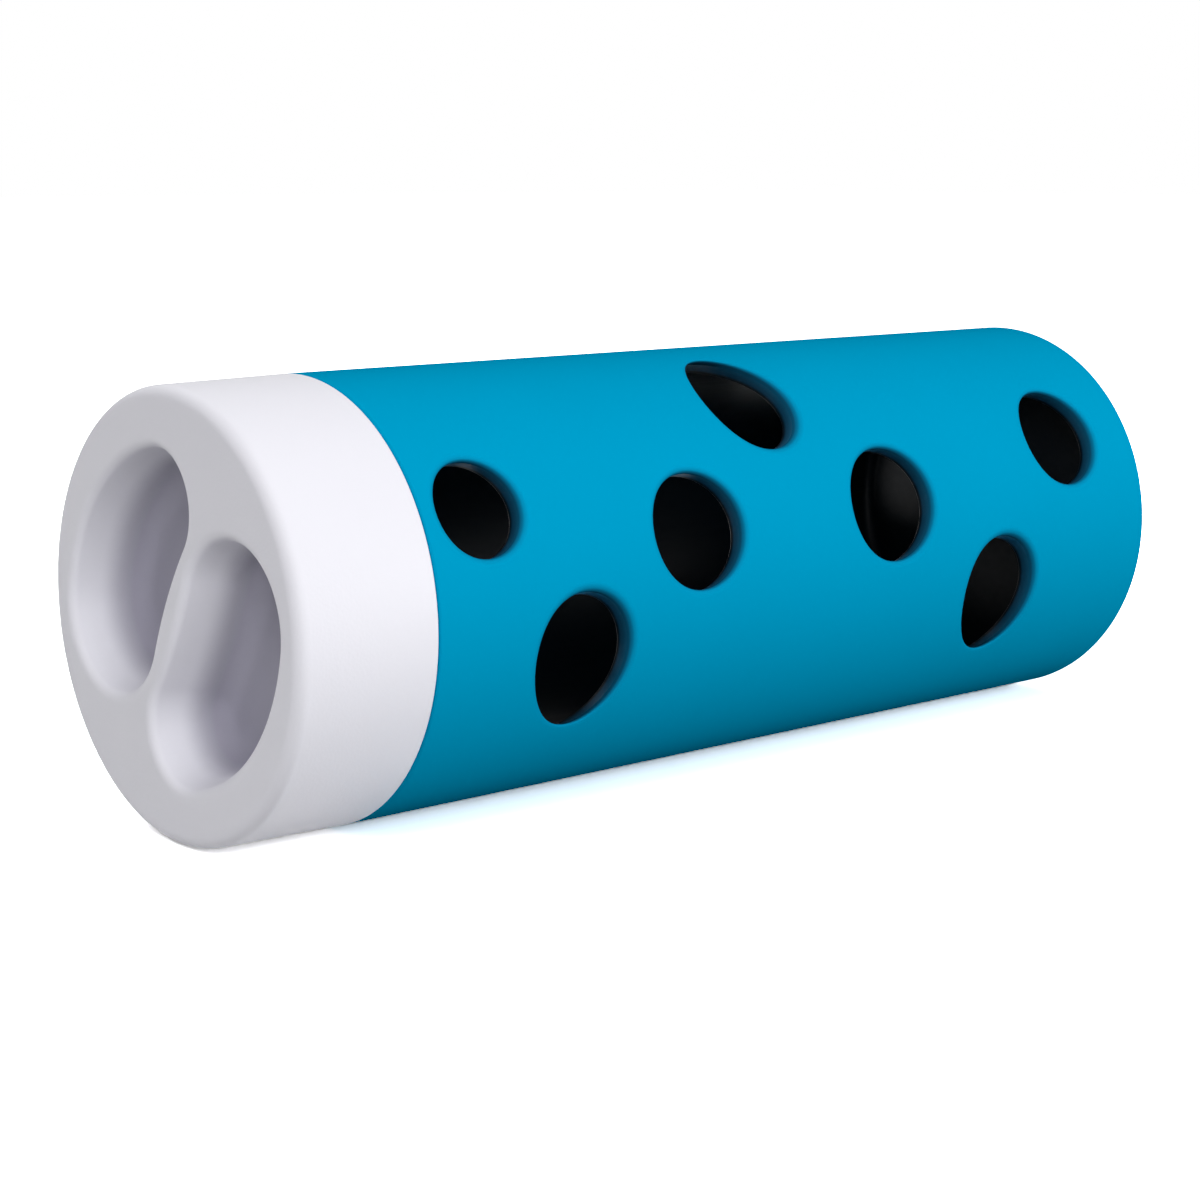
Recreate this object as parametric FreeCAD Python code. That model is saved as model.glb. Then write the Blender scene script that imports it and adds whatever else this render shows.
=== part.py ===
import FreeCAD, Part
import os
from collections import namedtuple
from math import asin, cos, hypot, radians, sin, sqrt, tan

from FreeCAD import Vector

# Treat dispensing roll: a hollow roller with round treat holes and a twist-off end cap.
# Sizes are in millimetres. The roll lies along X, its cap at the low end, and rests on Z = 0.
# X = 0 is the middle of its length and Y = 0 the middle of its width.

# Overall sizes
outer_radius = 30.0
tube_length = 141.3
cap_length = 20.6

# Tube: a rigid dark tube, closed at its far end, in a thin soft skin that covers that end too
skin_thickness = 1.2
tube_wall = 2.0
end_wall = 2.4
end_corner_round = 2.0
skin_end_round = 1.0
seam_round = 0.3

# Neck that the cap turns on, and the shoulder ring that joins it to the tube
neck_step = 2.2
neck_wall = 2.0
shoulder_thickness = 1.6
neck_mouth_round = 0.5

# Twist lock: the cap's lugs sit behind the neck's, and a rib at the end of each neck lug stops them.
# The cap turns free by 360 / lug_count - lug_span - stop_span - 2 * lug_end_gap degrees.
lug_count = 3
lug_height = 1.1
lug_thickness = 1.8
lug_span = 48.0
stop_span = 5.0
lug_seat = 1.2

# Cap: a hollow cup whose flat face has two finger recesses with walls of their own. Its rim is flush
# with the skin, and its side tapers by cap_side_draft towards the face.
cap_wall = 2.0
cap_side_draft = 1.0
cap_face_wall = 2.6
cap_edge_round = 2.6
cap_inner_round = 1.0
recess_depth = 10.0
recess_wall = 2.0
recess_draft = 2.2
recess_rim_round = 1.5
recess_floor_round = 4.5

# Outline of a finger recess on the face: two round lobes, an outer arc and a gently hollow inner
# one. Places and radii are beside the face's own radius, so that the pair of them fits any cap.
narrow_lobe_place = Vector(0, 0.086, 0.477)
narrow_lobe_size = 0.261
wide_lobe_place = Vector(0, 0.482, -0.037)
wide_lobe_size = 0.364
outer_arc_size = 0.88
inner_arc_size = 2.0
recess_count = 2

# Clearances
seam_gap = 0.2
lug_face_gap = 0.2
lug_end_gap = 1.0
running_gap = 0.08
recess_end_gap = 0.5

# Treat holes, all cut straight along one pull direction, which leans up by pull_tilt from level.
# place is the distance from the seam as a share of the tube's length, turn is how far round the
# axis the hole lies from the pull direction, in degrees, and size is its radius beside hole_radius.
TreatHole = namedtuple("TreatHole", "place turn size")
pull_tilt = 18.0
hole_radius = 8.0
rim_round = 1.0
front_holes = [
    TreatHole(0.0651, 10.56, 0.8125),
    TreatHole(0.1706, -29.56, 1.0),
    TreatHole(0.3185, -1.53, 1.0),
    TreatHole(0.4515, 34.75, 0.975),
    TreatHole(0.5902, -1.15, 1.0375),
    TreatHole(0.7580, -30.89, 0.975),
    TreatHole(0.8790, 12.32, 0.9625),
]
back_holes = [
    TreatHole(0.0849, -11.54, 0.8125),
    TreatHole(0.1982, 27.82, 1.0),
    TreatHole(0.2477, -25.68, 0.9875),
    TreatHole(0.5096, 15.47, 1.05),
    TreatHole(0.6369, -30.00, 1.0),
    TreatHole(0.7785, -15.47, 0.9875),
    TreatHole(0.8846, 19.47, 0.9625),
]

# Places along X
total_length = cap_length + tube_length
face_x = -total_length / 2
seam_x = face_x + cap_length
end_x = total_length / 2
neck_length = cap_length - recess_depth - recess_wall - recess_end_gap
neck_end_x = seam_x - neck_length
neck_lug_x = seam_x - lug_seat - 2 * lug_thickness - lug_face_gap
cap_lug_x = seam_x - lug_seat - lug_thickness
cap_rim_x = seam_x - seam_gap

# Radii
tube_radius = outer_radius - skin_thickness
bore_radius = tube_radius - tube_wall
neck_radius = tube_radius - neck_step
neck_bore_radius = neck_radius - neck_wall
lug_radius = neck_radius + lug_height
cap_face_radius = outer_radius - (cap_rim_x - face_x) * tan(radians(cap_side_draft))
cap_bore_radius = outer_radius - cap_wall
cap_lug_radius = neck_radius + running_gap
narrow_lobe = narrow_lobe_place * cap_face_radius
wide_lobe = wide_lobe_place * cap_face_radius

axis_start = Vector(0, 0, 0)
along_x = Vector(1, 0, 0)
pull_direction = Vector(0, -cos(radians(pull_tilt)), sin(radians(pull_tilt)))
across_direction = Vector(0, sin(radians(pull_tilt)), cos(radians(pull_tilt)))


def turned(profile):
    """Turn a closed list of (x, radius) corners round the roll's axis."""
    corners = [Vector(x, 0, radius) for x, radius in profile]
    outline = Part.makePolygon(corners + corners[:1])
    return Part.Face(outline).revolve(axis_start, along_x, 360)


def ring_sector(x_low, x_high, inner, outer, start_angle, span):
    """A piece of a ring, from start_angle round by span degrees, positive from +Y towards +Z."""
    start = radians(start_angle)
    corners = [
        Vector(x_low, inner * cos(start), inner * sin(start)),
        Vector(x_low, outer * cos(start), outer * sin(start)),
        Vector(x_high, outer * cos(start), outer * sin(start)),
        Vector(x_high, inner * cos(start), inner * sin(start)),
    ]
    outline = Part.makePolygon(corners + corners[:1])
    return Part.Face(outline).revolve(axis_start, along_x, span)


def round_edges(shape, radius, chosen):
    """Round the edges for which chosen(edge) is true."""
    edges = [edge for edge in shape.Edges if chosen(edge)]
    return shape.makeFillet(radius, edges)


def circle_at(x, radius):
    """A test for the turned edge at this place and radius."""
    def is_there(edge):
        if not isinstance(edge.Curve, Part.Circle):
            return False
        centre = edge.Curve.Center
        on_axis = hypot(centre.y, centre.z) < 0.001
        return on_axis and abs(centre.x - x) < 0.001 and abs(edge.Curve.Radius - radius) < 0.001
    return is_there


def hole_across(hole):
    """How far the hole's middle lies off the roll's axis, square to the pull."""
    return outer_radius * sin(radians(hole.turn))


def hole_cutter(hole, direction):
    """A straight cutter from the middle of the roll out through one wall."""
    start = Vector(seam_x + hole.place * tube_length, 0, 0) + across_direction * hole_across(hole)
    return Part.makeCylinder(hole.size * hole_radius, 2 * outer_radius, start, direction)


def all_hole_cutters():
    """Every treat hole with its cutter."""
    front = [(hole, hole_cutter(hole, pull_direction)) for hole in front_holes]
    back = [(hole, hole_cutter(hole, pull_direction * -1)) for hole in back_holes]
    return front + back


def hole_rim_round(hole):
    """The rim's radius, kept inside the skin where a hole off the middle meets it at a slant."""
    slant = asin(min((abs(hole_across(hole)) + hole.size * hole_radius) / outer_radius, 0.95))
    cut_length = skin_thickness / cos(slant)
    return min(rim_round, 0.8 * cut_length * tan((radians(90) - slant) / 2))


def make_skin():
    """The soft skin, a thin cup with every treat hole cut and rounded at its outer rim."""
    skin = turned([
        (seam_x, tube_radius),
        (seam_x, outer_radius),
        (end_x, outer_radius),
        (end_x, 0),
        (end_x - skin_thickness, 0),
        (end_x - skin_thickness, tube_radius),
    ])
    skin = round_edges(skin, seam_round, circle_at(seam_x, outer_radius))
    skin = round_edges(skin, skin_end_round, circle_at(end_x, outer_radius))
    for hole, cutter in all_hole_cutters():
        skin = skin.cut(cutter)
        skin = round_edges(skin, hole_rim_round(hole), rim_of(hole, cutter))
    return skin


def rim_of(hole, cutter):
    """A test for the edge where this hole meets the outside of the skin."""
    def is_there(edge):
        middle = edge.valueAt((edge.FirstParameter + edge.LastParameter) / 2)
        on_outside = abs(hypot(middle.y, middle.z) - outer_radius) < 0.001
        on_cutter = cutter.Faces[0].distToShape(Part.Vertex(middle))[0] < 0.001
        return on_outside and on_cutter
    return is_there


def lug_angle(number):
    """Where a lug of the neck begins; its stop rib follows it."""
    return number * 360 / lug_count


def make_tube():
    """The rigid tube: closed end, straight bore, shoulder ring, neck and the neck's lugs and stops."""
    closed_x = end_x - skin_thickness
    tube = turned([
        (neck_end_x, neck_bore_radius),
        (neck_end_x, neck_radius),
        (seam_x, neck_radius),
        (seam_x, tube_radius),
        (closed_x, tube_radius),
        (closed_x, 0),
        (closed_x - end_wall, 0),
        (closed_x - end_wall, bore_radius),
        (seam_x + shoulder_thickness, bore_radius),
        (seam_x + shoulder_thickness, neck_bore_radius),
    ])
    tube = round_edges(tube, end_corner_round, circle_at(closed_x - end_wall, bore_radius))
    tube = round_edges(tube, neck_mouth_round, circle_at(neck_end_x, neck_bore_radius))
    for number in range(lug_count):
        lug = ring_sector(neck_lug_x, neck_lug_x + lug_thickness,
                          neck_radius - neck_wall / 2, lug_radius, lug_angle(number), lug_span)
        stop = ring_sector(neck_lug_x, seam_x, neck_radius - neck_wall / 2, lug_radius,
                           lug_angle(number) + lug_span, stop_span)
        tube = tube.fuse([lug, stop])
    for hole, cutter in all_hole_cutters():
        tube = tube.cut(cutter)
    return tube.removeSplitter()


def circles_meet(first, first_radius, second, second_radius, side):
    """Where two circles in the face's plane meet; side is 1 or -1 for left or right of first to second."""
    gap = second - first
    reach = (first_radius ** 2 - second_radius ** 2 + gap.Length ** 2) / (2 * gap.Length)
    rise = sqrt(first_radius ** 2 - reach ** 2)
    ahead = Vector(gap).normalize()
    left = Vector(0, -ahead.z, ahead.y)
    return first + ahead * reach + left * rise * side


def arc_between(centre, radius, start, end, towards):
    """An arc from start to end whose middle lies on the side of towards."""
    chord_middle = (start + end) * 0.5
    middle = (chord_middle - centre).normalize() * radius
    if middle.dot(towards - centre) < 0:
        middle = middle * -1
    return Part.Arc(start, centre + middle, end).toShape()


def recess_outline(x, grow):
    """The recess's outline at x, made wider all round by grow: four arcs that meet smoothly."""
    narrow = narrow_lobe_size * cap_face_radius + grow
    wide = wide_lobe_size * cap_face_radius + grow
    outer = outer_arc_size * cap_face_radius + grow
    inner = inner_arc_size * cap_face_radius - grow
    outer_centre = circles_meet(narrow_lobe, outer - narrow, wide_lobe, outer - wide, -1)
    inner_centre = circles_meet(narrow_lobe, inner + narrow, wide_lobe, inner + wide, -1)
    narrow_out = outer_centre + (narrow_lobe - outer_centre).normalize() * outer
    wide_out = outer_centre + (wide_lobe - outer_centre).normalize() * outer
    narrow_in = inner_centre + (narrow_lobe - inner_centre).normalize() * inner
    wide_in = inner_centre + (wide_lobe - inner_centre).normalize() * inner
    away = narrow_lobe - wide_lobe
    edges = [
        arc_between(narrow_lobe, narrow, narrow_in, narrow_out, narrow_lobe + away),
        arc_between(outer_centre, outer, narrow_out, wide_out, (narrow_out + wide_out) * 0.5),
        arc_between(wide_lobe, wide, wide_out, wide_in, wide_lobe - away),
        arc_between(inner_centre, inner, wide_in, narrow_in, (wide_in + narrow_in) * 0.5),
    ]
    outline = Part.Wire(edges)
    outline.translate(Vector(x, 0, 0))
    return outline


def on_plane(x):
    """A test for edges that lie wholly at this x."""
    def is_there(edge):
        return edge.BoundBox.XMin > x - 0.001 and edge.BoundBox.XMax < x + 0.001
    return is_there


def recess_shape(depth, grow):
    """A tapering recess, or the outside of its wall, with a rounded floor edge."""
    floor_x = face_x + depth
    mouth = recess_outline(face_x, grow)
    floor = recess_outline(floor_x, grow - recess_draft)
    shape = Part.makeLoft([mouth, floor], True, True)
    return round_edges(shape, recess_floor_round, on_plane(floor_x))


def recess_rim(edge):
    """A test for the edges where a recess breaks through the cap's flat face."""
    middle = edge.valueAt((edge.FirstParameter + edge.LastParameter) / 2)
    flat_radius = cap_face_radius - cap_edge_round
    return on_plane(face_x)(edge) and hypot(middle.y, middle.z) < flat_radius - 0.001


def make_cap():
    """The end cap: cup, finger recesses with their walls, and the lugs that turn under the neck's."""
    cap = turned([
        (face_x, 0),
        (face_x, cap_face_radius),
        (cap_rim_x, outer_radius),
        (cap_rim_x, cap_bore_radius),
        (face_x + cap_face_wall, cap_bore_radius),
        (face_x + cap_face_wall, 0),
    ])
    cap = round_edges(cap, cap_edge_round, circle_at(face_x, cap_face_radius))
    cap = round_edges(cap, seam_round, circle_at(cap_rim_x, outer_radius))
    cap = round_edges(cap, cap_inner_round, circle_at(face_x + cap_face_wall, cap_bore_radius))
    for number in range(lug_count):
        lug = ring_sector(cap_lug_x, cap_lug_x + lug_thickness, cap_lug_radius,
                          cap_bore_radius + cap_wall / 2, lug_angle(number) - lug_end_gap, lug_span)
        cap = cap.fuse(lug)
    for number in range(recess_count):
        turn = 360 * number / recess_count
        wall = recess_shape(recess_depth + recess_wall, recess_wall)
        wall.rotate(axis_start, along_x, turn)
        cap = cap.fuse(wall)
    for number in range(recess_count):
        recess = recess_shape(recess_depth, 0)
        recess.rotate(axis_start, along_x, 360 * number / recess_count)
        cap = cap.cut(recess)
    cap = round_edges(cap.removeSplitter(), recess_rim_round, recess_rim)
    return cap


def save(shape, name):
    """Lift a piece so that the roll rests on Z = 0, and write it."""
    shape.translate(Vector(0, 0, outer_radius))
    shape.exportStep(f"parts/{name}.step")
    print(f"{name}: {len(shape.Solids)} solid, {shape.Volume / 1000:.1f} cm3, valid {shape.isValid()}")


os.makedirs("parts", exist_ok=True)
save(make_skin(), "soft_skin")
save(make_tube(), "inner_tube")
save(make_cap(), "end_cap")
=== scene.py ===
# %% [markdown]
# # A treat dispensing roll, dressed around its CAD frame
# The real toy is a hollow roller for a pet: a blue tube with round holes, and a white cap that
# twists off to fill it. The CAD model holds the sizes and the joint. Here each of its three pieces
# is made again as a fine surface, in the same place, and is given a finish. Scene lengths are in
# metres, with +X along the roll from the cap to the closed end and the floor at Z = 0.

from math import cos, pi, radians, sin, sqrt, tan

import bmesh
import bpy
import numpy as np
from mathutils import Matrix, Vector
from mathutils.geometry import tessellate_polygon


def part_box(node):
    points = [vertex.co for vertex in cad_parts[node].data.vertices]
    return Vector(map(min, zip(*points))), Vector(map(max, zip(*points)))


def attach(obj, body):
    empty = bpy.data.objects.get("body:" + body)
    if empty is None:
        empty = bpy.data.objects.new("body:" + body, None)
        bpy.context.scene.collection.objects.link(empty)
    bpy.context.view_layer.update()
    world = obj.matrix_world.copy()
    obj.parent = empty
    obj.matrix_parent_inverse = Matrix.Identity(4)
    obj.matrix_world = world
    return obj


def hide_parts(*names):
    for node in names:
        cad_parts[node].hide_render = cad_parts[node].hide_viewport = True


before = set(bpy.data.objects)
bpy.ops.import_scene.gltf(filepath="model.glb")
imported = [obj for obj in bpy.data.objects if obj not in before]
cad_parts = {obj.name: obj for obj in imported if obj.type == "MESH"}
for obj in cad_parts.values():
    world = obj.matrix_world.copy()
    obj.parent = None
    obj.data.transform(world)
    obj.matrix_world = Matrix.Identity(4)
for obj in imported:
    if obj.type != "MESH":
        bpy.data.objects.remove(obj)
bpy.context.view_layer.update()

# %% [markdown]
# ## Sizes
# The outside could be typed in here, but it is read from the frame, so the pieces land where the
# CAD says. The walls inside are plain numbers in millimetres. All shapes below are worked out in
# millimetres round an axis at zero, as a turner would draw them, and one helper turns millimetres
# into metres and lifts the roll on to the floor.

# %% Sizes
MM = 0.001
skin_low, skin_high = (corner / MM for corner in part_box("soft_skin"))
tube_low, tube_high = (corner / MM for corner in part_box("inner_tube"))
cap_low, cap_high = (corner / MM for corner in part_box("end_cap"))

axis_height = round((cap_low.z + cap_high.z) / 2, 2)
outer_radius = round((skin_high.z - skin_low.z) / 2, 2)
tube_radius = round((tube_high.z - tube_low.z) / 2, 2)
face_x, cap_rim_x = cap_low.x, cap_high.x
seam_x, end_x = skin_low.x, skin_high.x
neck_end_x, closed_x = tube_low.x, tube_high.x

tube_wall = 2.0
end_wall = 2.4
shoulder_thickness = 1.6
neck_step = 2.2
neck_wall = 2.0
bore_radius = tube_radius - tube_wall
neck_radius = tube_radius - neck_step
neck_bore_radius = neck_radius - neck_wall
cap_side_draft = radians(1.0)
cap_face_radius = outer_radius - (cap_rim_x - face_x) * tan(cap_side_draft)
print(f"roll {end_x - face_x:.1f} mm long, skin {2 * outer_radius:.1f} mm across,",
      f"tube {2 * tube_radius:.1f} mm")

# %% [markdown]
# ## The camera
# The photograph was taken from in front of the cap's end and a little above it, with a normal lens.
# The camera could be set by eye, but its place was worked out from the straight edges of the roll
# and the ellipses of its ends, so that shapes can be compared. The picture is square, so one focal
# length on a 36 mm wide sensor sets both directions.

# %% The camera
lens = bpy.data.cameras.new("camera")
lens.lens = 73.12
lens.sensor_width = 36.0
lens.clip_start = 0.01
camera = bpy.data.objects.new("camera", lens)
camera.location = (-0.23802, -0.26515, 0.08652)
looking = Vector((0.6443, 0.7444, -0.1753))
camera.rotation_euler = looking.to_track_quat("-Z", "Y").to_euler()
bpy.context.scene.collection.objects.link(camera)
bpy.context.scene.camera = camera
print("camera", tuple(round(v, 3) for v in camera.location), f"lens {lens.lens:.2f} mm")

# %% [markdown]
# ## From arrays to a mesh
# Every piece below is one or more grids of points. A grid becomes faces by joining each point to
# its neighbours. Several grids go into one mesh and are merged where their edges meet, so the
# piece ends up closed. Its normals are then turned outwards once, and only the edges that are
# really sharp on the moulding stay sharp. A value named rim goes with each point. It is 0 on the
# open surface and grows to 1 down inside a hole or a recess, and the finish uses it later: for the
# colours in the holes, and for a painted shade in the cap's recesses.

# %% Helpers for grids and meshes
merge_distance = 0.004
nearly_straight = 0.01


def grid_faces(rows, columns, wrap=False):
    """Quads that join point (i, j) to the next row and column, for points stored row by row."""
    i = np.arange(rows - 1)[:, None]
    j = np.arange(columns if wrap else columns - 1)[None, :]
    after = (j + 1) % columns
    corners = [i * columns + j, i * columns + after, (i + 1) * columns + after, (i + 1) * columns + j]
    return np.stack([corner.ravel() for corner in corners], axis=1)


def around(x, radius, angle):
    """Points at x along the roll and radius from its axis; the angle runs from the front upwards."""
    x, radius, angle = np.broadcast_arrays(x, radius, angle)
    return np.stack([x, -radius * np.cos(angle), radius * np.sin(angle)], axis=-1)


def turned(profile, value=0.0):
    """A profile of (x, radius) points carried round the axis: one row of points for each of them."""
    x, radius = np.array(profile, float).T
    points = around(x[:, None], radius[:, None], angles[None, :])
    return points, grid_faces(len(x), len(angles), wrap=True), value


def rounded(corners, steps=6):
    """A line through (a, b, round) corners, each corner with a round replaced by the arc that
    touches both of its sides. The arc begins round times tan(half the turn) before the corner."""
    places = np.array([corner[:2] for corner in corners], float)
    line = [places[0]]
    for before, here, after, corner in zip(places, places[1:], places[2:], corners[1:]):
        to_before = (before - here) / np.linalg.norm(before - here)
        to_after = (after - here) / np.linalg.norm(after - here)
        half_turn = (pi - np.arccos(np.clip(to_before @ to_after, -1.0, 1.0))) / 2
        if corner[2] == 0 or half_turn < nearly_straight:
            line.append(here)
            continue
        inward = (to_before + to_after) / np.linalg.norm(to_before + to_after)
        centre = here + inward * corner[2] / cos(half_turn)
        first = here + to_before * corner[2] * tan(half_turn) - centre
        last = here + to_after * corner[2] * tan(half_turn) - centre
        for share in np.linspace(0.0, 1.0, steps + 1):
            blend = first * sin((1 - share) * 2 * half_turn) + last * sin(share * 2 * half_turn)
            line.append(centre + blend / sin(2 * half_turn))
    line.append(places[-1])
    return line


def make_piece(name, parts, sharp_angle=40.0):
    """One closed mesh from parts of (points in mm, faces, rim values), merged where they meet."""
    points, faces, values, start = [], [], [], 0
    for part_points, part_faces, part_values in parts:
        values.append(np.broadcast_to(part_values, part_points.shape[:-1]).ravel())
        points.append(part_points.reshape(-1, 3))
        faces.extend((np.asarray(part_faces) + start).tolist())
        start += len(points[-1])
    points = (np.concatenate(points) + np.array([0.0, 0.0, axis_height])) * MM
    mesh = bpy.data.meshes.new(name)
    mesh.from_pydata(points.tolist(), [], faces)
    rim = mesh.attributes.new("rim", "FLOAT", "POINT")
    rim.data.foreach_set("value", np.concatenate(values).astype(np.float32))
    shell = bmesh.new()
    shell.from_mesh(mesh)
    bmesh.ops.remove_doubles(shell, verts=shell.verts, dist=merge_distance * MM)
    bmesh.ops.recalc_face_normals(shell, faces=shell.faces)
    open_edges = sum(1 for edge in shell.edges if len(edge.link_faces) != 2)
    shell.to_mesh(mesh)
    shell.free()
    mesh.shade_smooth()
    mesh.set_sharp_from_angle(angle=radians(sharp_angle))
    piece = bpy.data.objects.new(name, mesh)
    bpy.context.scene.collection.objects.link(piece)
    print(f"{name}: {len(mesh.vertices)} points, {len(mesh.polygons)} faces, {open_edges} open edges")
    return piece


# %% [markdown]
# ## The holes
# The holes lie in no plain pattern, so each has its own numbers: its place as a share of the tube's
# length, its turn round the axis in degrees from the mould's pull direction, and its size beside a
# usual hole. All of them are cut straight along the pull. A Boolean cut would leave thin slivers
# that shade badly, and a grid on a cylinder can't simply lose some faces, because its holes would
# have stepped edges. So a rectangle of the grid is left out round each hole, and a second grid
# fills it. Its first row has the rectangle's own points. The next rows draw in to the hole's
# circle, roll over the rounded rim, run down the straight cut, and spread out again on the inside
# to the rectangle's points there. Two of the holes lie so close that the grid is turned a little,
# by grid_turn, to put one of its lines between them.

# %% Where the holes are
pull_tilt = radians(18.0)
usual_radius = 8.0
front_table = [
    (0.0651, 10.56, 0.8125), (0.1706, -29.56, 1.0), (0.3185, -1.53, 1.0), (0.4515, 34.75, 0.975),
    (0.5902, -1.15, 1.0375), (0.7580, -30.89, 0.975), (0.8790, 12.32, 0.9625),
]
back_table = [
    (0.0849, -11.54, 0.8125), (0.1982, 27.82, 1.0), (0.2477, -25.68, 0.9875), (0.5096, 15.47, 1.05),
    (0.6369, -30.0, 1.0), (0.7785, -15.47, 0.9875), (0.8846, 19.47, 0.9625),
]


def placed(table):
    """Each hole in mm: its way from the seam, its way across the pull, and its radius."""
    return [((end_x - seam_x) * place, outer_radius * sin(radians(turn)), usual_radius * size)
            for place, turn, size in table]


front_holes = placed(front_table)
back_holes = placed(back_table)
columns = 160
grid_rows = 124
grid_turn = radians(0.15)
grid_end_gap = 3.0
angles = grid_turn - pi / 2 + 2 * pi * np.arange(columns) / columns
grid_start = seam_x + shoulder_thickness
grid_end = closed_x - end_wall - grid_end_gap
x_lines = np.linspace(grid_start, grid_end, grid_rows)
print(f"{len(front_holes)} holes in front, {len(back_holes)} behind,",
      f"on a grid of {len(x_lines)} by {columns}")


# %% Helpers for a wall with holes
outside_margin = 1.17
inside_margin = 0.5


def left_out(hole, side):
    """The rows and columns of the grid that a hole needs, with room for its rims, rounded outwards."""
    along, across, radius = hole
    reach_out = np.array([-radius - outside_margin, radius + outside_margin])
    reach_in = np.array([-radius - inside_margin, radius + inside_margin])
    rows = np.searchsorted(x_lines, seam_x + along + reach_out)
    outside = np.arcsin((across + reach_out) / outer_radius)
    inside = np.arcsin((across + reach_in) / bore_radius)
    reach = np.array([min(outside[0], inside[0]), max(outside[1], inside[1])])
    middle = pull_tilt if side > 0 else pull_tilt + pi
    spread = np.sort(middle + side * reach)
    cells = (spread - angles[0]) / (angles[1] - angles[0])
    first_row = max(rows[0] - 1, 0)
    last_row = min(rows[1], len(x_lines) - 1)
    return first_row, last_row, int(np.floor(cells[0])), int(np.ceil(cells[1]))


def rectangle_loop(first_row, last_row, first_column, last_column):
    """The grid's own points round the left-out rectangle, once round, as rows and columns."""
    rows = np.arange(first_row, last_row)
    spots = np.arange(first_column, last_column)
    loop_rows = np.concatenate([rows, np.full(len(spots), last_row),
                                rows[::-1] + 1, np.full(len(spots), first_row)])
    loop_columns = np.concatenate([np.full(len(rows), first_column), spots,
                                   np.full(len(rows), last_column), spots[::-1] + 1])
    return loop_rows, loop_columns


def lifted(x, across, radius, side):
    """Points on a cylinder, seen along the pull: the height is sqrt(radius^2 - across^2)."""
    return np.stack([x, across, side * np.sqrt(radius ** 2 - across ** 2)], axis=-1)


def from_pull(points):
    """Turn (x, across, height along the pull) into (x, y, z)."""
    x, across, height = np.moveaxis(points, -1, 0)
    y = across * sin(pull_tilt) - height * cos(pull_tilt)
    z = across * cos(pull_tilt) + height * sin(pull_tilt)
    return np.stack([x, y, z], axis=-1)


def hole_rows(hole, side, radius, round_length, sheet_rows, round_rows, outside):
    """Rows from the rectangle's points to the hole's wall, on one side of the sheet. The rim is the
    curve (1-t)^2 A + 2t(1-t) E + t^2 B. E is the sharp edge of the cut, A lies on the sheet and B on
    the wall, each one round_length from E."""
    along, across, hole_radius = hole
    loop_rows, loop_columns = rectangle_loop(*left_out(hole, side))
    edge_x = x_lines[loop_rows]
    edge_across = radius * np.sin(angles[loop_columns % columns] - pull_tilt)
    turn = np.arctan2(edge_across - across, edge_x - (seam_x + along))
    corner_x = seam_x + along + hole_radius * np.cos(turn)
    corner_across = across + hole_radius * np.sin(turn)
    corner = lifted(corner_x, corner_across, radius, side)
    slope = corner_across / np.sqrt(radius ** 2 - corner_across ** 2) * np.sin(turn)
    spread = round_length / np.sqrt(1 + slope ** 2)
    start_x = corner_x + spread * np.cos(turn)
    start_across = corner_across + spread * np.sin(turn)
    share = np.linspace(0.0, 1.0, sheet_rows)[:, None]
    sheet_x = edge_x + (start_x - edge_x) * share
    sheet_across = edge_across + (start_across - edge_across) * share
    sheet = lifted(sheet_x, sheet_across, radius, side)
    if round_length == 0:
        return sheet, np.zeros(sheet.shape[:-1])
    down = np.array([0.0, 0.0, side * round_length])
    end = corner - down if outside else corner + down
    t = np.linspace(0.0, 1.0, round_rows)[1:, None, None]
    rim = (1 - t) ** 2 * sheet[-1] + 2 * t * (1 - t) * corner + t ** 2 * end
    rows = np.concatenate([sheet, rim])
    values = np.concatenate([np.zeros(sheet_rows), np.linspace(0.0, 1.0, round_rows)[1:]])
    return rows, np.broadcast_to(values[:, None], rows.shape[:-1])


def holed_wall(outer, inner, outer_round, inner_round):
    """The two faces of a round wall between grid_start and grid_end, joined through every hole."""
    keep = np.ones((len(x_lines) - 1, columns), bool)
    parts = []
    for side, group in ((1, front_holes), (-1, back_holes)):
        for hole in group:
            first_row, last_row, first_column, last_column = left_out(hole, side)
            keep[first_row:last_row, first_column:last_column] = False
            top, top_values = hole_rows(
                hole, side, outer, outer_round, sheet_rows=6, round_rows=11, outside=True)
            bottom, bottom_values = hole_rows(
                hole, side, inner, inner_round, sheet_rows=5, round_rows=5, outside=False)
            points = from_pull(np.concatenate([top, bottom[::-1]]))
            values = np.concatenate([top_values, np.ones_like(bottom_values)])
            parts.append((points, grid_faces(len(points), points.shape[1], wrap=True), values))
    faces = grid_faces(len(x_lines), columns, wrap=True)[keep.ravel()]
    for radius, value in ((outer, 0.0), (inner, 1.0)):
        parts.append((around(x_lines[:, None], radius, angles[None, :]), faces, value))
    return parts


# %% [markdown]
# ## The soft skin
# On the real toy a thin layer of soft blue rubber is moulded over the tube. It covers the closed end
# and rolls over the rim of every hole. A Solidify modifier could give it a thickness, but not the
# rolled rims. So it is one sheet with an outside and an underside, made from the wall with holes
# and two turned ends. The seam edge by the cap has a small round, and the far end a larger one.

# %% The soft skin
skin_rim_round = 1.1
skin_end_round = 1.0
seam_round = 0.3


def flat_end(x):
    """The corners of a flat disc at x in from its edge: two rings and the middle."""
    return [(x, radius, 0) for radius in (20.0, 8.0, 0.0)]


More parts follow.
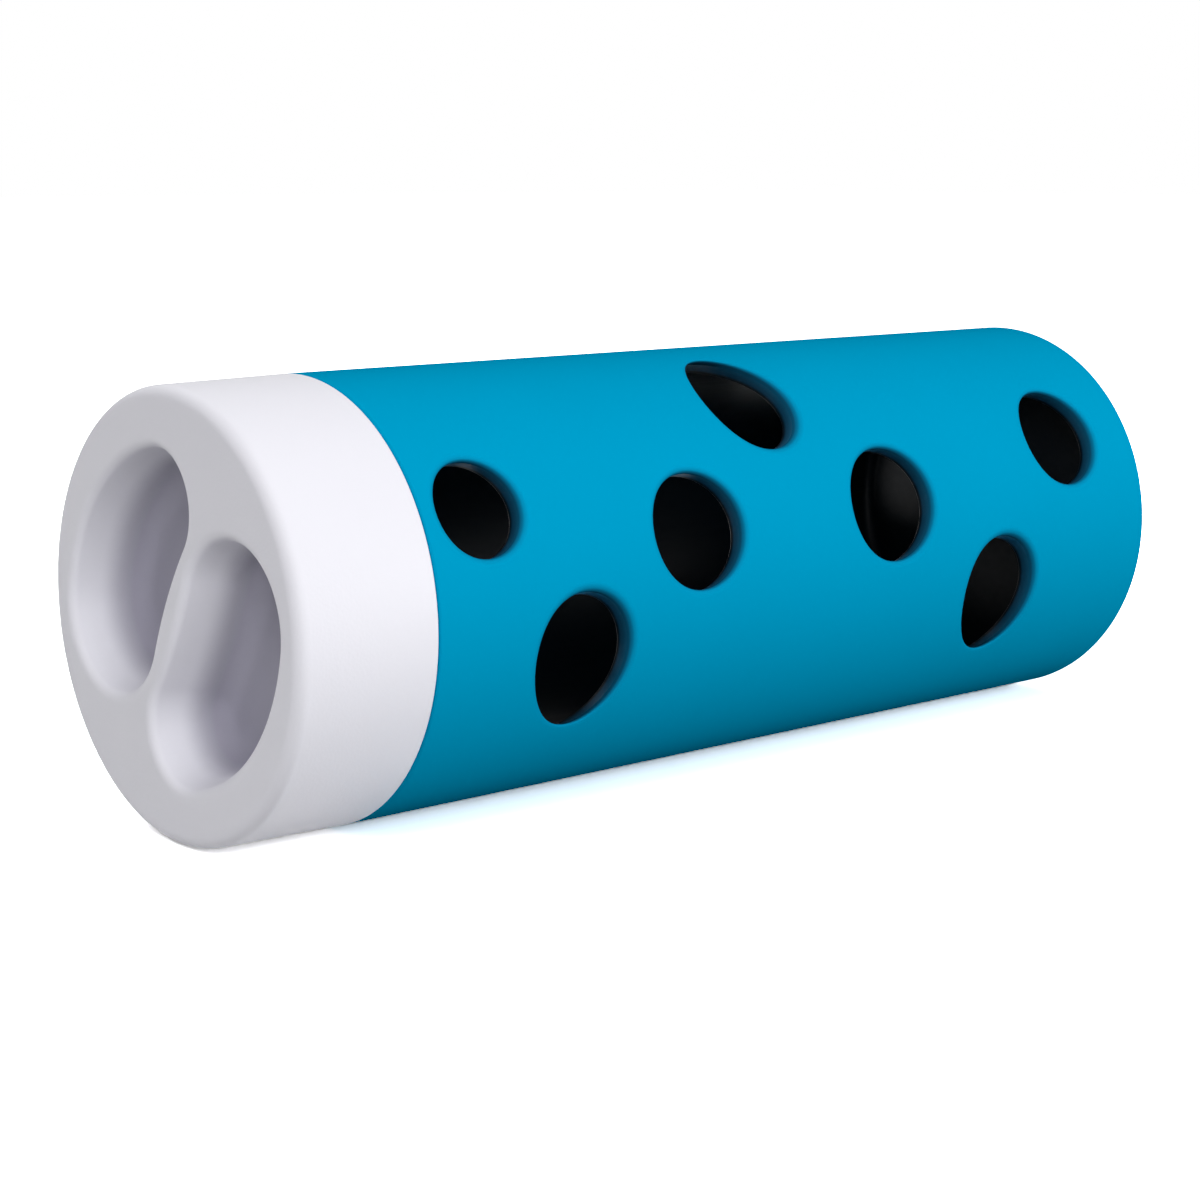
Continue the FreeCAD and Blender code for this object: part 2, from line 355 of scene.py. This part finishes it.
skin_parts = holed_wall(outer_radius, tube_radius, skin_rim_round, 0.0)
skin_parts.append(turned(rounded([
    (grid_start, outer_radius, 0), (seam_x, outer_radius, seam_round), (seam_x, tube_radius, 0),
    (grid_start, tube_radius, 0),
])))
skin_parts.append(turned(rounded([
    (grid_end, outer_radius, 0), (end_x, outer_radius, skin_end_round), *flat_end(end_x),
])))
skin_parts.append(turned(rounded([
    (grid_end, tube_radius, 0), (closed_x, tube_radius, 0), *flat_end(closed_x),
])))
soft_skin = make_piece("soft_skin_surface", skin_parts)
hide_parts("soft_skin")
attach(soft_skin, "roll")

# %% [markdown]
# ## The inner tube
# The rigid tube shows only as the dark inside and as the ring in each hole, below the skin. It could
# be left out where nothing is seen, but the cap comes off, so it is whole. Its inner edges are
# broken by a small round that catches a thin line of light. Under the cap sit its neck and three
# lugs of the twist lock, each followed by a rib that stops the turn. The lugs are sectors of a ring
# sunk into the neck.

# %% The inner tube
bore_rim_round = 0.35
bore_end_round = 2.0
neck_mouth_round = 0.5
lug_count = 3
lug_height = 1.1
lug_thickness = 1.8
lug_span = radians(48.0)
stop_span = radians(5.0)
lug_seat = 1.2
lug_face_gap = 0.2
lug_sunk = 1.0
rib_lug_gap = 0.01
rib_seam_gap = 0.02
neck_lug_x = seam_x - lug_seat - 2 * lug_thickness - lug_face_gap


def ring_sector(x_low, x_high, inner, outer, start, span, steps=25):
    """A closed piece of a ring. Four corners of its section are carried from start through span."""
    turn = pi - np.linspace(start, start + span, steps)
    corners = [(x_low, inner), (x_low, outer), (x_high, outer), (x_high, inner)]
    points = np.stack([around(x, radius, turn) for x, radius in corners], axis=1)
    first_end = np.arange(4)
    last_end = 4 * steps - 1 - first_end
    return points, np.concatenate([grid_faces(steps, 4, wrap=True), [first_end, last_end]]), 1.0


tube_parts = holed_wall(tube_radius, bore_radius, 0.0, bore_rim_round)
tube_parts.append(turned(rounded([
    (grid_start, tube_radius, 0), (seam_x, tube_radius, 0), (seam_x, neck_radius, 0),
    (neck_end_x, neck_radius, 0), (neck_end_x, neck_bore_radius, neck_mouth_round),
    (grid_start, neck_bore_radius, 0), (grid_start, bore_radius, 0),
]), value=1.0))
tube_parts.append(turned(rounded([
    (grid_end, tube_radius, 0), (closed_x, tube_radius, 0), *flat_end(closed_x),
]), value=1.0))
tube_parts.append(turned(rounded([
    (grid_end, bore_radius, 0), (closed_x - end_wall, bore_radius, bore_end_round),
    *flat_end(closed_x - end_wall),
]), value=1.0))
for number in range(lug_count):
    start = number * 2 * pi / lug_count
    tube_parts.append(ring_sector(
        neck_lug_x, neck_lug_x + lug_thickness,
        neck_radius - lug_sunk, neck_radius + lug_height, start, lug_span))
    tube_parts.append(ring_sector(
        neck_lug_x + rib_lug_gap, seam_x - rib_seam_gap,
        neck_radius - lug_sunk, neck_radius + lug_height, start + lug_span, stop_span))
inner_tube = make_piece("inner_tube_surface", tube_parts)
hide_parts("inner_tube")
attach(inner_tube, "roll")

# %% [markdown]
# ## The end cap
# The cap is one moulding: a cup with two finger recesses in its face, one for the thumb and one for
# a finger, each the other turned half a turn. They could be sculpted, but an outline and a slope
# are easier to measure. A recess is drawn as its outline, four arcs that meet smoothly, made
# smaller row by row while the depth grows. So the rows follow the outline all the way down, over
# the rounded rim, along the steep wall and round into the floor. The flat face between the recesses
# is filled with triangles, and their corners all lie on flat ground, so it shades flat.

# %% The outline of a finger recess
narrow_lobe = np.array([0.086, 0.477]) * cap_face_radius
narrow_radius = 0.261 * cap_face_radius
wide_lobe = np.array([0.482, -0.037]) * cap_face_radius
wide_radius = 0.364 * cap_face_radius
outer_arc_radius = 0.88 * cap_face_radius
inner_arc_radius = 2.0 * cap_face_radius
narrow_points, side_points, wide_points = 36, 26, 48


def circles_meet(first, first_radius, second, second_radius, side):
    """Where two circles cross; side picks the crossing left or right of the way from first to
    second. The crossing lies (r1^2 - r2^2 + d^2) / 2d along that way, for a way of length d."""
    gap = second - first
    length = np.linalg.norm(gap)
    reach = (first_radius ** 2 - second_radius ** 2 + length ** 2) / (2 * length)
    rise = sqrt(first_radius ** 2 - reach ** 2)
    ahead = gap / length
    return first + ahead * reach + np.array([-ahead[1], ahead[0]]) * rise * side


def arc_points(centre, start, end, towards, count):
    """Points on the arc about centre from start to end, on the side of towards, without the end."""
    first, last = start - centre, end - centre
    start_turn = np.arctan2(first[1], first[0])
    span = (np.arctan2(last[1], last[0]) - start_turn) % (2 * pi)
    middle = start_turn + span / 2
    if np.array([cos(middle), sin(middle)]) @ (towards - centre) < 0:
        span -= 2 * pi
    turn = start_turn + span * np.arange(count) / count
    return centre + np.linalg.norm(first) * np.stack([np.cos(turn), np.sin(turn)], axis=1)


def on_arc(arc_centre, arc_radius, lobe):
    """The point where an arc touches a lobe: on the line from the arc's centre through the lobe's."""
    return arc_centre + (lobe - arc_centre) / np.linalg.norm(lobe - arc_centre) * arc_radius


def recess_loop(grow):
    """The outline in (y, z), made wider all round by grow, as the same number of points each time."""
    narrow, wide = narrow_radius + grow, wide_radius + grow
    outer, inner = outer_arc_radius + grow, inner_arc_radius - grow
    outer_centre = circles_meet(narrow_lobe, outer - narrow, wide_lobe, outer - wide, -1)
    inner_centre = circles_meet(narrow_lobe, inner + narrow, wide_lobe, inner + wide, -1)
    narrow_out, wide_out = (on_arc(outer_centre, outer, lobe) for lobe in (narrow_lobe, wide_lobe))
    narrow_in, wide_in = (on_arc(inner_centre, inner, lobe) for lobe in (narrow_lobe, wide_lobe))
    away = narrow_lobe - wide_lobe
    return np.concatenate([
        arc_points(narrow_lobe, narrow_in, narrow_out, narrow_lobe + away, narrow_points),
        arc_points(outer_centre, narrow_out, wide_out, (narrow_out + wide_out) / 2, side_points),
        arc_points(wide_lobe, wide_out, wide_in, wide_lobe - away, wide_points),
        arc_points(inner_centre, wide_in, narrow_in, (wide_in + narrow_in) / 2, side_points),
    ])


print("a recess is {:.1f} by {:.1f} mm".format(*np.ptp(recess_loop(0), axis=0)))


# %% Helpers for the cap
def recess_grid(profile, half_turn):
    """Rows of the outline for (shrink, depth) steps, then a strip across the floor of the last row.
    The rim value is each row's way in from the mouth, depth plus shrink, as a share of the whole;
    the cap's material paints shade with it."""
    sign = -1 if half_turn else 1
    rows = [np.column_stack([np.full(len(loop), face_x + depth), sign * loop])
            for loop, depth in ((recess_loop(-shrink), depth) for shrink, depth in profile)]
    points = np.array(rows)
    count = points.shape[1]
    strip = np.arange(count // 2 - 1)
    lobe_middle = narrow_points // 2
    left, right = (lobe_middle + strip) % count, (lobe_middle - 1 - strip) % count
    floor = np.stack([left, (left + 1) % count, (right - 1) % count, right], axis=1)
    faces = grid_faces(len(points), count, wrap=True)
    way_in = np.array([max(shrink, 0.0) + depth for shrink, depth in profile])
    shares = way_in / way_in[-1]
    values = np.broadcast_to(shares[:, None], points.shape[:-1])
    return points, np.concatenate([faces, floor + (len(points) - 1) * count]), values


def flat_ring(x, radius, loops):
    """Triangles that fill a flat disc between its outer circle and the loops cut out of it."""
    outlines = [around(x, radius, angles)] + loops
    flat = np.array([1.0, 1.0, 0.0])
    triangles = tessellate_polygon([(outline[:, [1, 2, 0]] * flat).tolist() for outline in outlines])
    return np.concatenate(outlines), np.array(triangles), 0.0


# %% [markdown]
# The cap's side tapers a little towards the face, as a moulding must to leave its mould. Under the
# face the recesses have walls of their own, and three lugs reach in behind the lugs of the neck.

# %% The recesses and their walls
recess_depth = 10.0
recess_wall = 2.0
recess_draft = 2.2
recess_rim_round = 1.5
recess_floor_round = 4.5
cap_face_wall = 2.6
face_run = 1.3
floor_run = 6.2
under_floor_run = 4.0

recess_line = rounded([
    (-face_run, 0, 0), (0, 0, recess_rim_round),
    (recess_draft, recess_depth, recess_floor_round), (floor_run, recess_depth, 0),
], 10)
slant = recess_draft / (recess_depth + recess_wall)
wall_line = rounded([
    (-recess_wall + slant * cap_face_wall, cap_face_wall, 0),
    (recess_draft - recess_wall, recess_depth + recess_wall, recess_floor_round),
    (under_floor_run, recess_depth + recess_wall, 0),
], 8)
recesses = [recess_grid(recess_line, half_turn) for half_turn in (False, True)]
walls = [recess_grid(wall_line, half_turn) for half_turn in (False, True)]
print(f"two recesses, {recess_depth:.1f} mm deep, with walls {recess_wall:.1f} mm thick")

# %% The end cap
cap_wall = 2.0
cap_edge_round = 1.8
cap_inner_round = 1.0
cap_mouth_round = 0.15
face_ring = 0.4
under_ring = 1.4
lug_clearance = 0.08
cap_lug_turn = radians(1.0)
cap_bore_radius = outer_radius - cap_wall
cap_lug_x = seam_x - lug_seat - lug_thickness
flat_radius = cap_face_radius - cap_edge_round - face_ring
under_x = face_x + cap_face_wall
under_radius = cap_bore_radius - under_ring

cap_parts = recesses + walls
cap_parts.append(flat_ring(face_x, flat_radius, [points[0] for points, _, _ in recesses]))
cap_parts.append(flat_ring(under_x, under_radius, [points[0] for points, _, _ in walls]))
cap_parts.append(turned(rounded([
    (face_x, flat_radius, 0), (face_x, cap_face_radius, cap_edge_round),
    (cap_rim_x, outer_radius, seam_round), (cap_rim_x, cap_bore_radius, cap_mouth_round),
    (under_x, cap_bore_radius, cap_inner_round), (under_x, under_radius, 0),
], 10)))
for number in range(lug_count):
    cap_parts.append(ring_sector(
        cap_lug_x, cap_lug_x + lug_thickness,
        neck_radius + lug_clearance, cap_bore_radius + lug_sunk,
        number * 2 * pi / lug_count - cap_lug_turn, lug_span))
end_cap = make_piece("end_cap_surface", cap_parts, sharp_angle=50.0)
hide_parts("end_cap")
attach(end_cap, "cap")

# %% [markdown]
# ## Shared surface effects
# All three plastics have a fine grain from the mould and colours that wander a little. Painted
# pictures could show both, but noise has no seams and needs no unwrapping. Two node groups make
# them, so that each material can place them with its own scale and strength. They read object
# coordinates in metres, and give out only heights and multipliers.

# %% Node groups
def new_group(name, inputs, outputs):
    """A shader node group with float inputs, given with their defaults, and float outputs."""
    group = bpy.data.node_groups.new(name, "ShaderNodeTree")
    for socket, default in inputs:
        made = group.interface.new_socket(socket, in_out="INPUT", socket_type="NodeSocketFloat")
        made.default_value = default
    for socket in outputs:
        group.interface.new_socket(socket, in_out="OUTPUT", socket_type="NodeSocketFloat")
    return group, group.nodes.new("NodeGroupInput"), group.nodes.new("NodeGroupOutput")


def node(tree, kind, **values):
    """A node of this kind, with its properties and inputs set by name."""
    made = tree.nodes.new(kind)
    for name, value in values.items():
        if name in made.inputs:
            made.inputs[name].default_value = value
        else:
            setattr(made, name, value)
    return made


def connect(tree, *pairs):
    """Join output sockets to input sockets."""
    for output, socket in pairs:
        tree.links.new(output, socket)


grain_group, grain_in, grain_out = new_group(
    "mould_grain", [("Grain per metre", 3000.0), ("Stretch", 1.0)], ["Height", "Speck"])
place = node(grain_group, "ShaderNodeTexCoord")
squeeze = node(grain_group, "ShaderNodeCombineXYZ", Y=1.0, Z=1.0)
scaled = node(grain_group, "ShaderNodeVectorMath", operation="MULTIPLY")
fine = node(grain_group, "ShaderNodeTexNoise", Detail=3.0, Roughness=0.6)
cells = node(grain_group, "ShaderNodeTexVoronoi")
height = node(grain_group, "ShaderNodeMath", operation="ADD")
connect(grain_group,
        (grain_in.outputs["Stretch"], squeeze.inputs["X"]),
        (place.outputs["Object"], scaled.inputs[0]),
        (squeeze.outputs[0], scaled.inputs[1]),
        (scaled.outputs[0], fine.inputs["Vector"]),
        (scaled.outputs[0], cells.inputs["Vector"]),
        (grain_in.outputs["Grain per metre"], fine.inputs["Scale"]),
        (grain_in.outputs["Grain per metre"], cells.inputs["Scale"]),
        (fine.outputs[0], height.inputs[0]),
        (cells.outputs["Distance"], height.inputs[1]),
        (height.outputs[0], grain_out.inputs["Height"]),
        (fine.outputs[0], grain_out.inputs["Speck"]))

drift_group, drift_in, drift_out = new_group(
    "colour_drift", [("Patches per metre", 40.0), ("Amount", 0.05)], ["Shade"])
place = node(drift_group, "ShaderNodeTexCoord")
cloud = node(drift_group, "ShaderNodeTexNoise", Detail=4.0, Roughness=0.55)
centred = node(drift_group, "ShaderNodeMath", operation="SUBTRACT")
centred.inputs[1].default_value = 0.5
scaled = node(drift_group, "ShaderNodeMath", operation="MULTIPLY_ADD")
scaled.inputs[2].default_value = 1.0
connect(drift_group,
        (place.outputs["Object"], cloud.inputs["Vector"]),
        (drift_in.outputs["Patches per metre"], cloud.inputs["Scale"]),
        (cloud.outputs[0], centred.inputs[0]),
        (centred.outputs[0], scaled.inputs[0]),
        (drift_in.outputs["Amount"], scaled.inputs[1]),
        (scaled.outputs[0], drift_out.inputs["Shade"]))
print("node groups:", [group.name for group in bpy.data.node_groups])


# %% [markdown]
# ## The plastics
# A matte plastic scatters light below its surface, and its shine is weak and wide, so its roughness
# is high and its specular level low. Subsurface scattering could show this too, but on a moulding
# of this size it costs time and changes nothing that the eye sees. The grain goes into a Bump node,
# with a height of a few hundredths of a millimetre, and also moves the roughness a little, as real
# texture does. A rim colour runs from the open surface down into a hole or a recess; in the cap's
# recesses it is painted shade.

# %% Helpers for the plastics
def plastic(name, grain, stretch, depth, drift, roughness, roughness_swing, specular):
    """A Principled material with grain bump, roughness swing and colour drift already joined. The
    depth is in mm. It gives back the material, its tree, its shader and the drift's shade."""
    material = bpy.data.materials.new(name)
    material.use_nodes = True
    tree = material.node_tree
    shader = tree.nodes["Principled BSDF"]
    shader.inputs["Specular IOR Level"].default_value = specular
    grain_node = node(tree, "ShaderNodeGroup", node_tree=grain_group)
    grain_node.inputs["Grain per metre"].default_value = grain
    grain_node.inputs["Stretch"].default_value = stretch
    drift_node = node(tree, "ShaderNodeGroup", node_tree=drift_group)
    drift_node.inputs["Amount"].default_value = drift
    bump = node(tree, "ShaderNodeBump", Strength=0.5, Distance=depth * MM)
    swing = node(tree, "ShaderNodeMapRange")
    swing.inputs["To Min"].default_value = roughness - roughness_swing
    swing.inputs["To Max"].default_value = roughness + roughness_swing
    connect(tree,
            (grain_node.outputs["Height"], bump.inputs["Height"]),
            (bump.outputs[0], shader.inputs["Normal"]),
            (grain_node.outputs["Speck"], swing.inputs["Value"]),
            (swing.outputs[0], shader.inputs["Roughness"]))
    return material, tree, shader, drift_node.outputs["Shade"]


def rim_colours(tree, stops):
    """A colour that changes with the mesh's rim value, through stops of (value, red, green, blue)."""
    rim_value = node(tree, "ShaderNodeAttribute", attribute_name="rim")
    fade = node(tree, "ShaderNodeValToRGB")
    fade.color_ramp.interpolation = "EASE"
    while len(fade.color_ramp.elements) < len(stops):
        fade.color_ramp.elements.new(0.5)
    for element, (position, *colour) in zip(fade.color_ramp.elements, stops):
        element.position = position
        element.color = (*colour, 1.0)
    connect(tree, (rim_value.outputs["Fac"], fade.inputs["Fac"]))
    return fade.outputs["Color"]


def shaded(tree, colour_socket, shade_socket):
    """A colour multiplied by a shade."""
    times = node(tree, "ShaderNodeVectorMath", operation="SCALE")
    connect(tree, (colour_socket, times.inputs[0]), (shade_socket, times.inputs["Scale"]))
    return times.outputs[0]


# %% [markdown]
# The blue skin is thinnest where it rolls over a rim, and there the black tube darkens it. The rim
# value from the mesh drives this: a colour ramp goes from blue to a dark teal down in the hole.

# %% The blue skin
material, tree, shader, shade = plastic(
    "blue_soft_touch", grain=3200.0, stretch=1.0, depth=0.012, drift=0.05,
    roughness=0.6, roughness_swing=0.05, specular=0.0)
skin_colour = rim_colours(tree, [
    (0.0, 0.0, 0.325, 0.57), (0.35, 0.001, 0.28, 0.5),
    (0.7, 0.003, 0.17, 0.32), (0.95, 0.006, 0.1, 0.19),
])
connect(tree, (shaded(tree, skin_colour, shade), shader.inputs["Base Color"]))
soft_skin.data.materials.append(material)
print("blue skin:", material.name)

# %% [markdown]
# The tube is a harder, glossier black. Its grain is stretched along the roll into faint lines, as a
# long core leaves when it is drawn out of the moulding. The cut edge in each hole has a trace of the
# skin's blue, because the skin is moulded on to it.

# %% The black tube
material, tree, shader, shade = plastic(
    "black_gloss_plastic", grain=900.0, stretch=0.03, depth=0.02, drift=0.3,
    roughness=0.38, roughness_swing=0.08, specular=0.08)
tube_colour = rim_colours(tree, [
    (0.0, 0.006, 0.09, 0.17), (0.6, 0.006, 0.055, 0.11), (0.95, 0.0015, 0.0045, 0.008),
])
connect(tree, (shaded(tree, tube_colour, shade), shader.inputs["Base Color"]))
inner_tube.data.materials.append(material)
print("black tube:", material.name)

# %% [markdown]
# The cap's mould is spark-eroded, which leaves a fine even grain that dulls the white. The deep
# recesses get a painted shade: the white is painted greyer on the way in, darker than the lamps make
# it.

# %% The white cap
material, tree, shader, shade = plastic(
    "white_satin_plastic", grain=2400.0, stretch=1.0, depth=0.016, drift=0.02,
    roughness=0.5, roughness_swing=0.05, specular=0.3)
# The white is 0.835 up to rim value 0.28, then painted darker to 0.33 by 0.68: painted shade in the
# recesses.
cap_white_and_painted_shade = rim_colours(tree, [(0.28, 0.835, 0.83, 0.89), (0.68, 0.33, 0.32, 0.39)])
connect(tree, (shaded(tree, cap_white_and_painted_shade, shade), shader.inputs["Base Color"]))
end_cap.data.materials.append(material)
print("white cap:", material.name)

# %% [markdown]
# ## The floor and the backdrop
# The toy was photographed in a light tent on white. A curved paper sheet could stand behind it, but
# a flat floor and an even world are simpler and look the same. Camera rays see a white floor and
# world, so the picture's background is white, while the light that reaches the toy stays at a plain
# level. The floor still darkens where the toy keeps light from it, and it glows white only farther
# out, where no shadow falls.

# %% Floor and world
world_level = 0.1
floor_reach = 6
floor_grey = 0.2
floor_white = 4.5
glow_start, glow_full = 0.16, 0.34


def seen_directly(tree):
    """1 for a ray that looks at the surface itself or at its mirror image, 0 for a ray of light."""
    path = node(tree, "ShaderNodeLightPath")
    either = node(tree, "ShaderNodeMath", operation="MAXIMUM")
    any_of = node(tree, "ShaderNodeMath", operation="MAXIMUM")
    connect(tree, (path.outputs["Is Camera Ray"], either.inputs[0]),
            (path.outputs["Is Glossy Ray"], either.inputs[1]),
            (either.outputs[0], any_of.inputs[0]),
            (path.outputs["Is Transmission Ray"], any_of.inputs[1]))
    return any_of.outputs[0]


world = bpy.data.worlds.new("light_tent")
world.use_nodes = True
background = world.node_tree.nodes["Background"]
level = node(world.node_tree, "ShaderNodeMapRange")
level.inputs["To Min"].default_value = world_level
level.inputs["To Max"].default_value = 1.0
connect(world.node_tree, (seen_directly(world.node_tree), level.inputs["Value"]),
        (level.outputs[0], background.inputs["Strength"]))
background.inputs["Color"].default_value = (1.0, 1.0, 1.0, 1.0)
bpy.context.scene.world = world

floor_corners = [(-floor_reach, -floor_reach, 0), (floor_reach, -floor_reach, 0),
                 (floor_reach, floor_reach, 0), (-floor_reach, floor_reach, 0)]
floor_mesh = bpy.data.meshes.new("floor")
floor_mesh.from_pydata(floor_corners, [], [(0, 1, 2, 3)])
floor = bpy.data.objects.new("floor", floor_mesh)
bpy.context.scene.collection.objects.link(floor)
paper = bpy.data.materials.new("white_floor")
paper.use_nodes = True
tree = paper.node_tree
shader = tree.nodes["Principled BSDF"]
shader.inputs["Roughness"].default_value = 1.0
shader.inputs["Specular IOR Level"].default_value = 0.0
shader.inputs["Emission Color"].default_value = (1.0, 1.0, 1.0, 1.0)
# Sockets 6 and 7 of a Mix node are its two colours, and output 2 is the mixed colour.
tone = node(tree, "ShaderNodeMix", data_type="RGBA")
tone.inputs[6].default_value = (floor_grey, floor_grey, floor_grey, 1.0)
tone.inputs[7].default_value = (floor_white, floor_white, floor_white, 1.0)
place = node(tree, "ShaderNodeTexCoord")
away = node(tree, "ShaderNodeVectorMath", operation="LENGTH")
far = node(tree, "ShaderNodeMapRange")
far.inputs["From Min"].default_value = glow_start
far.inputs["From Max"].default_value = glow_full
glow = node(tree, "ShaderNodeMath", operation="MULTIPLY")
seen = seen_directly(tree)
connect(tree,
        (seen, tone.inputs[0]),
        (tone.outputs[2], shader.inputs["Base Color"]),
        (place.outputs["Object"], away.inputs[0]),
        (away.outputs["Value"], far.inputs["Value"]),
        (far.outputs[0], glow.inputs[0]),
        (seen, glow.inputs[1]),
        (glow.outputs[0], shader.inputs["Emission Strength"]))
floor_mesh.materials.append(paper)
print(f"a white floor, glowing from {glow_start} to {glow_full} m away from the roll's middle")

# %% [markdown]
# ## The lamps
# A light tent gives broad light with soft edges. The world alone could give it, but then no side of
# the roll would be darker than another. So large area lamps do most of the work. Two stand low to
# the right of the camera. Weaker ones light the cap's end from the side and from above and the roll
# from the top and the back, and the world fills in.

# %% Lamps
lamp_size = 0.5
lamp_distance = 0.9


def soft_lamp(name, side_angle, height_angle, power):
    """A square area lamp that faces the roll's middle. Its side angle goes from the front of the
    holes (0 degrees) to the cap's end (90 degrees)."""
    side_angle, height_angle = radians(side_angle), radians(height_angle)
    data = bpy.data.lights.new(name, "AREA")
    data.size = lamp_size
    data.energy = power
    lamp = bpy.data.objects.new(name, data)
    level_reach = cos(height_angle)
    direction = Vector((-sin(side_angle) * level_reach, -cos(side_angle) * level_reach,
                        sin(height_angle)))
    lamp.location = direction * lamp_distance
    lamp.rotation_euler = (-direction).to_track_quat("-Z", "Y").to_euler()
    bpy.context.scene.collection.objects.link(lamp)


soft_lamp("key_lamp", 25, 8, power=4.1)
soft_lamp("right_lamp", -45, 8, power=5.2)
soft_lamp("side_lamp", 110, 10, power=0.3)
soft_lamp("upper_lamp", 60, 42, power=2.3)
soft_lamp("top_lamp", 10, 75, power=1.5)
soft_lamp("back_lamp", 180, 50, power=1.5)
bpy.context.scene.view_settings.view_transform = "Standard"
lamps = [thing for thing in bpy.data.objects if thing.type == "LIGHT"]
print("lamps in watts:", [(lamp.name, round(lamp.data.energy, 2)) for lamp in lamps])
